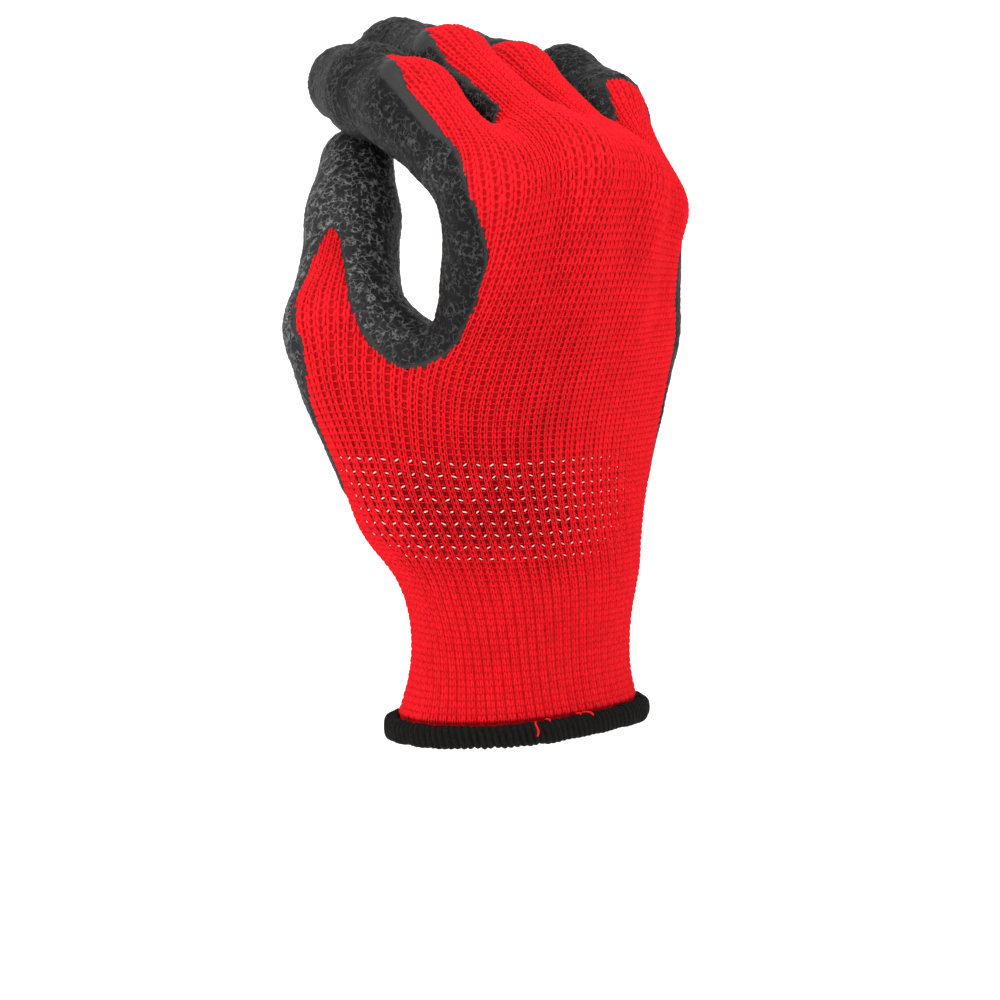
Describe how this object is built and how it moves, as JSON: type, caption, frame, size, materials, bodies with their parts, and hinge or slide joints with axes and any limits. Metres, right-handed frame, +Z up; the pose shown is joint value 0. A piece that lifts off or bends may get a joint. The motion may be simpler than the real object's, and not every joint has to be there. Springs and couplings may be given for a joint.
{
  "type": "thermal work glove",
  "caption": "Right-hand knitted thermal work glove in its worn shape, index finger and thumb pinched, with a rubber-dipped palm and fingertips and an overlocked ribbed cuff.",
  "frame": {"origin": "the middle of the wrist opening, level with the lower edge of the hem", "axes": "+Z up the forearm to the knuckles, +Y to the palm side, where the fingers point, -X to the thumb side"},
  "size_m": [0.1133, 0.1224, 0.1796],
  "materials": {
    "knit": "brushed acrylic jersey knit, matt",
    "latex": "foamed latex with a crinkled skin",
    "hem_thread": "dense polyester overlock stitching"
  },
  "bodies": {
    "root": {"knit_liner": "knit", "latex_coating": "latex", "hem_overlock": "hem_thread"}
  },
  "joints": []
}
